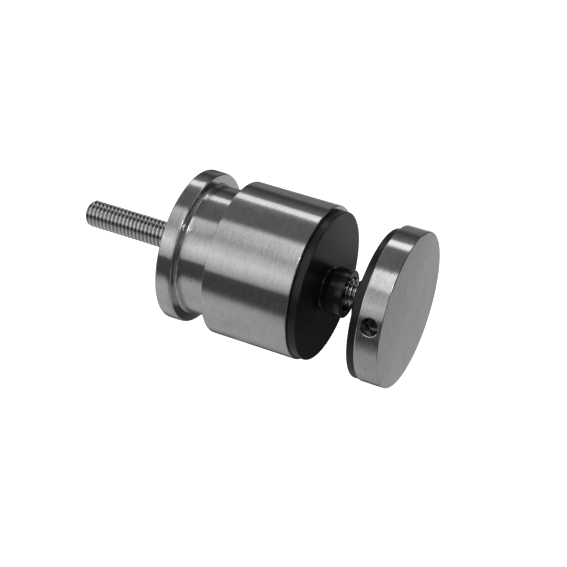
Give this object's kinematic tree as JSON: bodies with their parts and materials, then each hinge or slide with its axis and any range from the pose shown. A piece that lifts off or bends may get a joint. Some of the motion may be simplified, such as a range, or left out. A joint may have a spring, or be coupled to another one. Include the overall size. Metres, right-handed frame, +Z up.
{
  "type": "glass standoff",
  "caption": "Adjustable round standoff that holds a drilled glass pane off a wall, clamped between two gaskets by a screw-on cap.",
  "frame": {"origin": "centre of the flange's back face, on the axis of the studs", "axes": "+X along the axis from the wall to the glass, +Z up"},
  "size_m": [0.1018, 0.045, 0.045],
  "materials": {
    "turned_steel": "fine turned and brushed",
    "stud_steel": "rolled thread",
    "screw_steel": "plain machined",
    "gasket_rubber": "smooth black, satin on the gaskets and glossier on the bushes"
  },
  "bodies": {
    "base": {"base": "turned_steel", "wall_stud": "stud_steel"},
    "inner_gasket": {"inner_gasket": "gasket_rubber", "inner_bush": "gasket_rubber"},
    "sleeve": {"body_sleeve": "turned_steel", "front_stud": "stud_steel"},
    "cap_gasket": {"cap_gasket": "gasket_rubber", "cap_bush": "gasket_rubber"},
    "cap": {"clamp_cap": "turned_steel"},
    "set_screw": {"set_screw": "screw_steel"}
  },
  "joints": [
    {"name": "sleeve_travel", "type": "slide", "parent": "base", "child": "inner_gasket", "axis": [1, 0, 0], "range_m": [-0.0094, 0]},
    {"name": "sleeve_turn", "type": "hinge", "parent": "inner_gasket", "child": "sleeve", "pos_m": [0.03, 0, 0], "axis": [1, 0, 0], "range_deg": [-2707, 0]},
    {"name": "cap_travel", "type": "slide", "parent": "sleeve", "child": "cap_gasket", "axis": [1, 0, 0], "range_m": [-0.0029, 0.0018]},
    {"name": "cap_turn", "type": "hinge", "parent": "cap_gasket", "child": "cap", "pos_m": [0.0642, 0, 0], "axis": [1, 0, 0], "range_deg": [-835, 518]},
    {"name": "set_screw_travel", "type": "slide", "parent": "cap", "child": "set_screw", "axis": [0, -0.9198, 0.3923], "range_m": [-0.0022, 0.012]}
  ],
  "couplings": [
    {"joint": "sleeve_travel", "follows": "sleeve_turn", "m_per_rad": 0.00019894},
    {"joint": "cap_travel", "follows": "cap_turn", "m_per_rad": 0.00019894}
  ]
}
